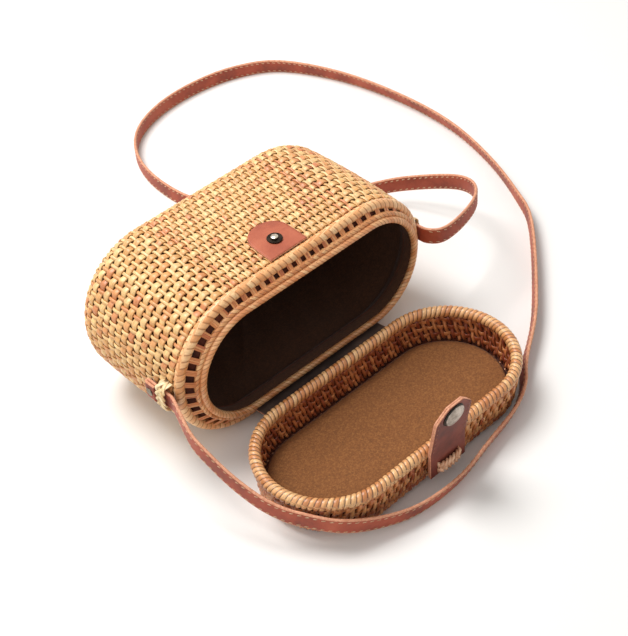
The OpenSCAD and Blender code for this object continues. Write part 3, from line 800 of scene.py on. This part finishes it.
class CANEBAG_OT_body(bpy.types.Operator):
    """Weaves the bag's wall and base over its dark core, whose colour is partly painted shade"""
    bl_idname = "canebag.body"
    bl_label = "Woven body"

    def execute(self, context):
        settings = context.scene.cane_bag
        weave = Weave(pitch=settings.weave_pitch / MM, row_wide=settings.strand_wide / MM / 2)
        random, canes = np.random.default_rng(3), ["woven_cane", "stake_cane"]
        mid = weave.lift + weave.row_thick + SKIN
        length = WALL_END - BODY_START + BASE_TURN * math.pi / 2
        make_weave("woven", "bag", canes, add_basket, MOUTH, body_profile(mid), length, weave, random,
                   nodes=["body_shell"])
        base = body_wall(WALL_END) - BASE_TURN
        make_weave("base", "bag", canes, add_panel, MOUTH, base - 0.5, BODY_DEPTH - mid, 1, weave, random)
        make_piece("base_ring", add_twist(new_bmesh(), MOUTH, base, BODY_DEPTH - 2.0), ["pale_cane"],
                   "bag")

        # A dark core under the weave, coloured partly by the cane's stain and partly by painted shade, shows
        # in the gaps between the strands
        m = np.linspace(0, length + base, 46)
        outer, inner = (np.stack(body_profile(inset)(m)[:2], 1) for inset in (3.0, 3.7))
        core = add_sweep(new_bmesh(), MOUTH, np.concatenate([outer, inner[::-1], outer[:1]]))
        make_piece("body_core", core, ["core_stain_and_shade"], "bag")
        return {"FINISHED"}


class CANEBAG_OT_mouth(bpy.types.Operator):
    """Wraps the mouth: its border, the lashings and the lip"""
    bl_idname = "canebag.mouth"
    bl_label = "Mouth"

    def execute(self, context):
        border = add_coil(new_bmesh(), MOUTH, BORDER_RADIUS, BORDER_IN, BORDER_THICK,
                          context.scene.cane_bag.border_wraps, 0.05, 2)
        make_piece("wrapped_border", border, ["border_cane"], "bag", ["mouth_border"])
        lip = add_coil(new_bmesh(), OPENING, LIP_RADIUS, LIP_THICK / 2, LIP_THICK, 150, 0.08, 4, 6, 12)
        make_piece("wrapped_lip", lip, ["lip_cane"], "bag", ["lip_ring"])
        # A wrapped roll lies along the lip, over the inner half of the lashings
        roll = add_coil(new_bmesh(), OPENING, LIP_RADIUS + 3.1, LIP_THICK / 2 + 2.1, 3.9, 132, 0.04, 3, 6, 10)
        make_piece("lip_roll", roll, ["roll_cane"], "bag")

        # Three strands side by side make one lashing; run and bend count them along a side and round an end
        bm, random, run, bend = new_bmesh(), np.random.default_rng(5), 14, 17
        lip_radius, border_radius, strand_step, slant = LIP_RADIUS + 1.2, BORDER_RADIUS - 0.5, 1.3, 1.1
        for index in range(2 * (run + bend)):
            middle, nx, ny = (float(x) for x in oval(np.array(index + 0.5), run, bend))
            tangent = np.array([ny, 0, -nx])
            out = np.array([-0.55 * nx, -0.84, -0.55 * ny])
            ends = [put(MOUTH, middle + LIP_SHIFT + lip_radius * nx, lip_radius * ny, 2.6)[0],
                    put(MOUTH, middle + border_radius * nx, border_radius * ny, BORDER_IN - 2.4)[0]]
            for strand in (-1, 0, 1):
                a, b = (end + tangent * (strand * strand_step + shift)
                        for end, shift in zip(ends, (-slant, slant)))

                def line(u):
                    bow = 0.9 * np.sin(math.pi * u) + 0.15 * (strand == 0)
                    return a + (b - a) * u[:, None] + out * bow[:, None]
                add_strand(bm, line, tangent * 0.74, out * 0.6, 8, 6, tone=random.random(), length=12)
        make_piece("band_lashings", bm, ["lashing_cane"], "bag", ["mouth_lashings"])
        # The collar takes the dark core colour, partly stain and partly painted shade
        finish_node("mouth_collar", "core_stain_and_shade")
        return {"FINISHED"}


class CANEBAG_OT_lining(bpy.types.Operator):
    """Fits the dark cloth lining, with its soft folds and one sharp crease"""
    bl_idname = "canebag.lining"
    bl_label = "Lining"

    def execute(self, context):
        gap, bend = 4.5, 13.5           # in from the outside, and the radius round the base
        wall = [(body_wall(d) - gap, d) for d in np.linspace(21, WALL_END, 14)]
        turn = [(body_wall(WALL_END) - BASE_TURN + bend * math.cos(a), WALL_END + bend * math.sin(a))
                for a in np.linspace(0.2, math.pi / 2, 8)]
        path = rounded([(39.4, 4.4), (39.4, 12.6), (48.2, 19.4)], 2).tolist() + wall + turn
        path += [(r, BODY_DEPTH - gap) for r in (30, 20, 10, 0)]

        def dent(station, radius, depth):
            deep = np.clip((depth - 16) / 16, 0, 1) * np.clip(radius / 30, 0, 1)
            fold = 0.5 + 0.5 * np.sin(station / 9 + 1.6 * np.sin(depth / 15) + 2 * np.sin(station / 31))
            crease = np.exp(-((station - 350 + 0.82 * (depth - 12)) / 1.7) ** 2)
            return deep * (1.3 * fold + 0.4 * np.sin(station / 3.7 + depth / 9)) * 0.8 + 1.1 * deep * crease

        def shape(u, v):
            out, depth = along(path, v).T
            station = u * AROUND
            middle, nx, ny = oval_even(u)
            spot = middle + LIP_SHIFT * np.clip((20 - depth) / 8, 0, 1), nx, ny
            lay = rows_of(station, v * 155, 0.5)
            return put_round(MOUTH, spot, out - dent(station, out, depth), depth), lay

        make_piece("cotton_lining", add_grid(new_bmesh(), COLS, 90, shape), ["dark_cotton"],
                   "bag", ["body_lining"], 0.7, 0)
        return {"FINISHED"}


class CANEBAG_OT_hinge(bpy.types.Operator):
    """Sews in the leather that the lid hangs on, as one strip from the bag to the lid"""
    bl_idname = "canebag.hinge"
    bl_label = "Hinge leather"

    def execute(self, context):
        low, high = box_mm("hinge_strip")
        leaf_low, leaf_high = box_mm("hinge_leaf")
        middle, half = (part[0] for part in middle_reach("hinge_strip"))
        profile = rounded([(10.4, 12.0), (12.4, 9.6), (13.6, 8.2), (10.0, 8.0), (0.0, 9.6), (-9.0, 10.6),
                           (-12.6, 10.9), (-13.6, 12.6), (-13.3, 14.4),
                           (leaf_high[1] - 0.45, leaf_high[2])], 2)

        def shape(u, v):
            y, z = along(profile, v).T
            x = middle + (2 * u - 1) * half
            web = np.exp(-((y - 0.5) / 6) ** 2) * (z < 12)
            sag = 0.5 * web * np.sin(u * 21) + 0.25 * web * np.sin(u * 53 + 1)
            return rows_of(x, y, z + sag), rows_of(x, v * 45, 0.5)

        strip = make_piece("hinge_strip_leather", add_grid(new_bmesh(), 88, 60, shape),
                           ["hinge_leather", "cut_leather"], None,
                           ["hinge_strip", "hinge_leaf"], 0.8)
        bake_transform(strip)

        x, size = np.arange(low[0] + 3.5, high[0] - 2, 5.0), (3.0, 0.8, 0.6)
        _, y, z = middle_reach("hinge_strip_stitches")[0]
        band = add_stitches(new_bmesh(), rows_of(x, y, z), (1, 0, 0), (0, -0.77, -0.64), size)
        make_piece("band_stitching", band, ["dark_thread"], "bag", ["hinge_strip_stitches"])
        bm = new_bmesh()
        for z in (leaf_low[2] + 2.3, leaf_high[2] - 2.0):
            add_stitches(bm, rows_of(x, LID_Y + skirt_radius(z) + 0.9, z), (1, 0, 0), (0, 1, 0), size)
        make_piece("leaf_stitching", bm, ["dark_thread"], "lid", ["hinge_leaf_stitches"])
        return {"FINISHED"}


class CANEBAG_OT_patch(bpy.types.Operator):
    """Lays the leather patch with its press stud on top of the bag"""
    bl_idname = "canebag.patch"
    bl_label = "Patch and stud"

    def execute(self, context):
        (_, near, _), (_, far, _) = box_mm("stud_patch")
        middle, half = (part[0] for part in middle_reach("stud_patch"))
        corner = 13.0

        def shape(u, v):
            y = near + v * (far - near)
            cut = np.clip(y - (far - corner), 0, corner)
            wide = half - corner + np.sqrt(np.maximum(corner ** 2 - cut ** 2, 0)) - 1.0 * v * v
            x = middle + (2 * u - 1) * wide
            return rows_of(x, y, BODY_Z + body_wall(y - MOUTH_Y) + 0.5), rows_of(x, y, 0.5)

        make_piece("stud_patch_leather", add_grid(new_bmesh(), 20, 30, shape),
                   ["patch_leather", "cut_leather"], "bag", ["stud_patch"], 1.0)
        finish_node("stud_washer", "dark_metal")
        finish_node("stud_post", "pale_metal")
        finish_node("stud_rivet", "snap_metal")
        return {"FINISHED"}


class CANEBAG_OT_loops(bpy.types.Operator):
    """Plaits the two cane loops and folds the strap's ends behind them"""
    bl_idname = "canebag.loops"
    bl_label = "Strap loops"

    def execute(self, context):
        for name, sign in (("left", -1), ("right", 1)):
            (_, y, _), (_, half, reach) = middle_reach(f"strap_loop_{name}")
            spread = math.asin(reach / 59.0)
            bm = new_bmesh()
            for strand in range(4):
                def arc(u):
                    phase = ROUND * (1.25 * u + strand / 4)
                    turn = (2 * u - 1) * spread
                    radius = HALF_RUN + 6.5 * (1 - np.abs(2 * u - 1) ** 7) + 0.5 * np.sin(2 * phase)
                    return rows_of(sign * (HALF_RUN + radius * np.cos(turn)),
                                   y + (half - 1.2) * np.cos(phase), BODY_Z + radius * np.sin(turn))

                def out(u):
                    turn = (2 * u - 1) * spread
                    return rows_of(sign * np.cos(turn), 0.0, np.sin(turn)) * 0.62
                add_strand(bm, arc, [0, 1.35, 0], out, 36, tone=0.15 + 0.2 * strand, length=30)
            make_piece(f"plaited_loop_{name}", bm, ["pale_cane"], "bag", [f"strap_loop_{name}"])

            (_, near, _), (_, far, _) = box_mm(f"strap_end_{name}")
            inner, outer = END_X, END_X + STRAP_THICK
            path = rounded([(inner, near), (inner, far - 3), (inner, far - 1.1),
                            ((inner + outer) / 2, far - 0.6), (outer, far - 1.1), (outer, far - 3),
                            (outer, far - 9.4)], 2)

            def fold(u):
                x, y = along(path, u).T
                return rows_of(sign * x, y, BODY_Z)

            def fold_out(u):
                a, b = along(path, np.clip(u + 0.01, 0, 1)), along(path, np.clip(u - 0.01, 0, 1))
                ahead = (a - b) / np.linalg.norm(a - b, axis=1)[:, None]
                return rows_of(sign * -ahead[:, 1], ahead[:, 0], 0.0) * STRAP_THICK / 2 * 0.96
            make_strap(f"folded_end_{name}", add_strand(new_bmesh(), fold, [0, 0, STRAP_WIDE / 2], fold_out,
                                                        36, 16, 5.0, length=32), f"strap_end_{name}")
            finish_node(f"strap_rivet_{name}", "snap_metal")
        return {"FINISHED"}


class CANEBAG_OT_lid(bpy.types.Operator):
    """Weaves the lid: its outer face, both sides of its skirt and its wrapped rim"""
    bl_idname = "canebag.lid"
    bl_label = "Woven lid"

    def execute(self, context):
        weave = Weave(pitch=5.6, row_wide=1.6, row_thick=0.5, stake_wide=1.3, stake_thick=0.95, slant=0.7)
        random = np.random.default_rng(8)
        mid = weave.lift + weave.stake_thick + SKIN
        length = LID_START - LID_TURN + LID_TURN * math.pi / 2
        make_weave("lid", "lid", ["skirt_cane"] * 2, add_basket, LID, lid_profile(mid), length, weave, random,
                   nodes=["lid_shell"])
        # The inner side of the skirt takes the darker cane of painted shade
        make_weave("lid_inner", "lid", ["shaded_inner_cane"] * 2, add_basket, LID, skirt_inside(mid), 18.3, weave,
                   random)
        face = Weave()
        radius = skirt_radius(LID_TURN) - LID_TURN
        make_weave("lid_face", "lid", ["woven_cane", "stake_cane"], add_panel, LID, radius - 0.5,
                   face.lift + face.row_thick + SKIN, -1, face, random)
        ring = add_twist(new_bmesh(), LID, radius, 1.9)
        make_piece("lid_face_ring", ring, ["pale_cane"], "lid")

        # A dark core under the lid's weave, coloured partly by stain and partly by painted shade, shows in
        # the gaps between the strands
        outer = np.stack(lid_profile(2.75)(np.linspace(0, length + radius, 30))[:2], 1)
        inner = [(0, 4.4), (skirt_radius(5) - 3.6, 4.4), (skirt_radius(LID_START) - 3.1, LID_START)]
        core = add_sweep(new_bmesh(), LID, np.concatenate([outer, inner, outer[:1]]))
        make_piece("lid_core", core, ["core_stain_and_shade"], "lid")
        rim = add_coil(new_bmesh(), LID, LID_RIM_RADIUS, LID_RIM_Z, LID_RIM_THICK,
                       context.scene.cane_bag.rim_wraps, 0.2, 2)
        make_piece("wrapped_rim", rim, ["rim_cane"], "lid", ["lid_rim"])
        return {"FINISHED"}


class CANEBAG_OT_lid_lining(bpy.types.Operator):
    """Pads the inside of the lid with its linen lining over the board"""
    bl_idname = "canebag.lid_lining"
    bl_label = "Lid lining"

    def execute(self, context):
        (_, _, bottom), (_, _, top) = box_mm("lid_lining")
        edge = middle_reach("lid_lining")[1][1]
        outline = [(0, top + 1.1), (edge * 0.5, top + 1.0), (edge - 8, top + 0.7), (edge - 3, top + 0.2),
                   (edge - 0.6, top - 0.5), (edge, bottom + 0.5), (edge - 0.8, bottom)]
        path = np.concatenate([rounded(outline, 2), [(0, bottom)]])

        def shape(u, v):
            out, z = along(path, v).T
            middle, nx, ny = oval_even(u)
            x, y = middle + out * nx, out * ny
            crown = (z > bottom + 0.7) * np.clip((edge - out) / 6, 0, 1)
            wave = 0.22 * np.sin(x / 13 + 1.2 * np.sin(y / 17)) + 0.15 * np.sin(y / 7 + x / 23)
            return put(LID, x, y, z + crown * wave), rows_of(x, y, 0.5)

        pad = make_piece("linen_pad", add_grid(new_bmesh(), COLS, 48, shape), ["tan_linen"],
                         "lid", ["lid_lining"])
        finish_node("lid_card", "board")
        return {"FINISHED"}


# The free tab's own directions: up towards its tip and out from its face
TAB_UP = np.array([0, -math.sin(TAB_LEAN), math.cos(TAB_LEAN)])
TAB_OUT = np.array([0, -math.cos(TAB_LEAN), -math.sin(TAB_LEAN)])


def on_tab(x, up, out):
    """Points given flat on the free tab, in the frame."""
    x, up, out = (np.atleast_1d(np.asarray(value, float)) for value in (x, up, out))
    return FOLD + x[:, None] * [1, 0, 0] + up[:, None] * TAB_UP + out[:, None] * TAB_OUT


def cut_hole(bm, up_at, radius):
    """Cuts the round hole of the snap's socket in a layer of the tab, and draws its edge to the circle."""
    layer = bm.verts.layers.float_vector["lay"]
    away = {vert: Vector((vert[layer].x, vert[layer].y - up_at)) for vert in bm.verts}
    inside = [vert for vert in bm.verts if away[vert].length < radius]
    edge = {vert for cut in inside for face in cut.link_faces for vert in face.verts} - set(inside)
    bmesh.ops.delete(bm, geom=inside, context="VERTS")
    for vert in edge:
        move = away[vert] * (radius / away[vert].length - 1)
        vert.co += Vector(on_tab(move.x, move.y, 0)[0] - FOLD) * MM


class CANEBAG_OT_tab(bpy.types.Operator):
    """Makes the closure tab of two leather layers, the plait that ties it and its snap"""
    bl_idname = "canebag.tab"
    bl_label = "Closure tab"

    def execute(self, context):
        half, tip, cut, thick, bend = 15.0, 38.0, 9.0, 1.3, 2.5
        low = box_mm("tab_foot")[0][2] - FOLD[2]
        up_at = float(np.dot(middle_reach("snap_cap")[0] - FOLD, on_tab(0, 1, 0)[0] - FOLD))

        def layer(depth, inset):
            def shape(u, v):
                up = low + v * (tip - inset - low)
                # The corners are cut at 45 degrees and a little rounded
                corner = up - (tip - cut)
                wide = np.where(corner < -2, half - inset, np.minimum(half - inset - corner, half - inset))
                wide = wide - 0.35 * np.exp(-(corner / 1.5) ** 2)
                x = (2 * u - 1) * wide
                share = np.clip((up + bend) / bend / 2, 0, 1)[:, None]
                share = share * share * (3 - 2 * share)
                foot = FOLD + rows_of(x, depth, up)
                return foot * (1 - share) + on_tab(x, up, -depth) * share, rows_of(x, up, 0.5)
            return shape

        for name, depth, inset, finish, slot, nodes in (
                ("tab_front_leather", thick / 2, 0.0, "tab_leather", "tab_leather",
                 ["closure_tab", "tab_foot"]),
                ("tab_back_leather", thick * 1.5, 0.3, "patch_leather", "tan_leather",
                 ["closure_tab_backing"])):
            bm = add_grid(new_bmesh(), 18, 58, layer(depth, inset))
            cut_hole(bm, up_at, middle_reach("snap_socket")[1][0])
            piece = make_piece(name, bm, [finish, "cut_leather"], None, nodes, thick)
            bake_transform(piece)

        bm, places = new_bmesh(), np.arange(2.5, tip - cut, 4.4)
        for side in (-1, 1):
            add_stitches(bm, on_tab(np.full_like(places, side * (half - 2)), places, 0.05),
                         on_tab(0, 1, 0)[0] - FOLD, on_tab(0, 0, 1)[0] - FOLD, (3.0, 0.8, 0.6))
        make_piece("tab_stitching", bm, ["tab_thread"], "tab", ["tab_stitches"])

        middle, reach = middle_reach("tab_lashing")
        bm = new_bmesh()
        for strand in range(4):
            def plait(u):
                phase = ROUND * (1.6 * u + strand / 4)
                return rows_of(middle[0] + (2 * u - 1) * (reach[0] - 0.5),
                               middle[1] - 0.3 + 0.8 * np.sin(2 * phase) + 1.9 * np.abs(2 * u - 1) ** 4,
                               middle[2] + (reach[2] - 1.4) * np.cos(phase))
            add_strand(bm, plait, [0, 0, 1.9], [0, 1.05, 0], 40, tone=0.2 + 0.2 * strand, length=30)
        make_piece("tab_plait", bm, ["plait_cane"], "lid", ["tab_lashing"])

        facing, upward = (Vector(on_tab(0, *way)[0] - FOLD) for way in ((0, 1), (1, 0)))
        turn = Matrix((upward.cross(facing), upward, facing)).transposed().to_4x4()
        cap = [(0, 2.75), (2.5, 2.65), (4.6, 2.3), (5.8, 1.8), (6.3, 1.45), (6.7, 1.5), (7.2, 1.35),
               (7.5, 0.9), (7.45, 0.4), (7.1, 0.0), (0, 0.0)]
        ring = [(0, 0.5), (7.6, 0.5), (8.2, 0.4), (8.4, 0.0), (0, 0.0)]
        # A dark ring under the cap, set off to one side, is painted shadow: it shows past that side of the
        # cap as a dark crescent
        for name, outline, x, up, finish, nodes in (
                ("snap_cap_dome", cap, 0, up_at, "cap_metal", ["snap_cap"]),
                ("snap_shadow_ring", ring, -1.0, up_at + 1.2, "dark_metal", [])):
            place = Matrix.Translation(Vector(on_tab(x, up, 0)[0]) * MM)
            bm = add_lathe(new_bmesh(), outline, place @ turn)
            make_piece(name, bm, [finish], "tab", nodes)
        finish_node("snap_socket", "snap_metal")
        return {"FINISHED"}


def seen_white(add, shader, seen, kind, output):
    """Shows a plain white of strength 1 in place of a shader, by the share seen."""
    white = add(kind, {"Color": (1, 1, 1, 1), "Strength": 1.0})
    mixed = add("MixShader", {0: seen, 1: shader, 2: white})
    feed(shader.id_data.nodes[output], {"Surface": mixed})


class CANEBAG_OT_stage(bpy.types.Operator):
    """Sets up the pale floor and the soft studio light"""
    bl_idname = "canebag.stage"
    bl_label = "Stage"

    def execute(self, context):
        bm = bmesh.new()
        bmesh.ops.create_grid(bm, x_segments=1, y_segments=1, size=4.0)
        mesh = bpy.data.meshes.new("floor")
        bm.to_mesh(mesh)
        bm.free()
        floor = add_object("floor", mesh)
        paint, add, shader = new_material("matt white floor paint", 0.9)
        feed(shader, {"Base Color": linear("#EDEBE8")})
        # Past the shadows the camera sees plain white, so that no horizon shows
        place = add("TexCoord").outputs["Object"]
        away = add("VectorMath", {0: place}, operation="LENGTH")
        share = add("MapRange", {0: away.outputs["Value"], 1: 0.5, 2: 1.2})
        camera = add("LightPath").outputs["Is Camera Ray"]
        seen = add("Math", {0: share, 1: camera}, operation="MULTIPLY")
        seen_white(add, shader, seen, "Emission", "Material Output")
        mesh.materials.append(paint)

        world = bpy.data.worlds.new("soft light")
        world.use_nodes = True
        light, add = world.node_tree.nodes["Background"], partial(add_node, world.node_tree)
        feed(light, {"Color": (1.0, 0.985, 0.96, 1), "Strength": 0.5})
        rays = add("LightPath").outputs
        gloss = add("Math", {0: rays["Is Glossy Ray"], 1: rays["Is Transmission Ray"]}, operation="MAXIMUM")
        seen = add("Math", {0: gloss, 1: rays["Is Camera Ray"]}, operation="MAXIMUM")
        seen_white(add, light, seen, "Background", "World Output")
        context.scene.world = world
        for name, place, size, power in (("key", (-0.15, 0.6, 1.25), 0.7, 19.0),
                                         ("fill", (-1.2, -0.1, 0.9), 1.2, 4.0)):
            data = bpy.data.lights.new(name, "AREA")
            data.size, data.energy = size, power
            lamp = add_object(name, data)
            lamp.location = place
            aim = Vector((0, 0, 0.05)) - Vector(place)
            lamp.rotation_euler = aim.to_track_quat("-Z", "Y").to_euler()
        return {"FINISHED"}


OPERATORS = (
    CANEBAG_OT_view, CANEBAG_OT_strap, CANEBAG_OT_body, CANEBAG_OT_mouth, CANEBAG_OT_lining,
    CANEBAG_OT_hinge, CANEBAG_OT_patch, CANEBAG_OT_loops, CANEBAG_OT_lid, CANEBAG_OT_lid_lining,
    CANEBAG_OT_tab, CANEBAG_OT_stage,
)


class CANEBAG_PT_panel(bpy.types.Panel):
    """Sizes, colours and pieces of the bag"""
    bl_idname = "CANEBAG_PT_panel"
    bl_label = "Cane Bag"
    bl_space_type = "VIEW_3D"
    bl_region_type = "UI"
    bl_category = "Cane Bag"

    def draw(self, context):
        settings = context.scene.cane_bag
        for name in settings.bl_rna.properties.keys():
            if name not in ("rna_type", "name"):
                self.layout.prop(settings, name)
        for operator in OPERATORS:
            self.layout.operator(operator.bl_idname)


CLASSES = (CaneBagSettings, *OPERATORS, CANEBAG_PT_panel)


def register():
    for made in CLASSES:
        bpy.utils.register_class(made)
    bpy.types.Scene.cane_bag = PointerProperty(type=CaneBagSettings)


def unregister():
    del bpy.types.Scene.cane_bag
    for made in reversed(CLASSES):
        bpy.utils.unregister_class(made)


def main():
    """Builds every piece in order."""
    register()
    MATERIALS.update(make_materials(bpy.context.scene.cane_bag))
    for operator in OPERATORS:
        getattr(bpy.ops.canebag, operator.bl_idname.split(".")[1])()


if __name__ == "__main__":
    main()
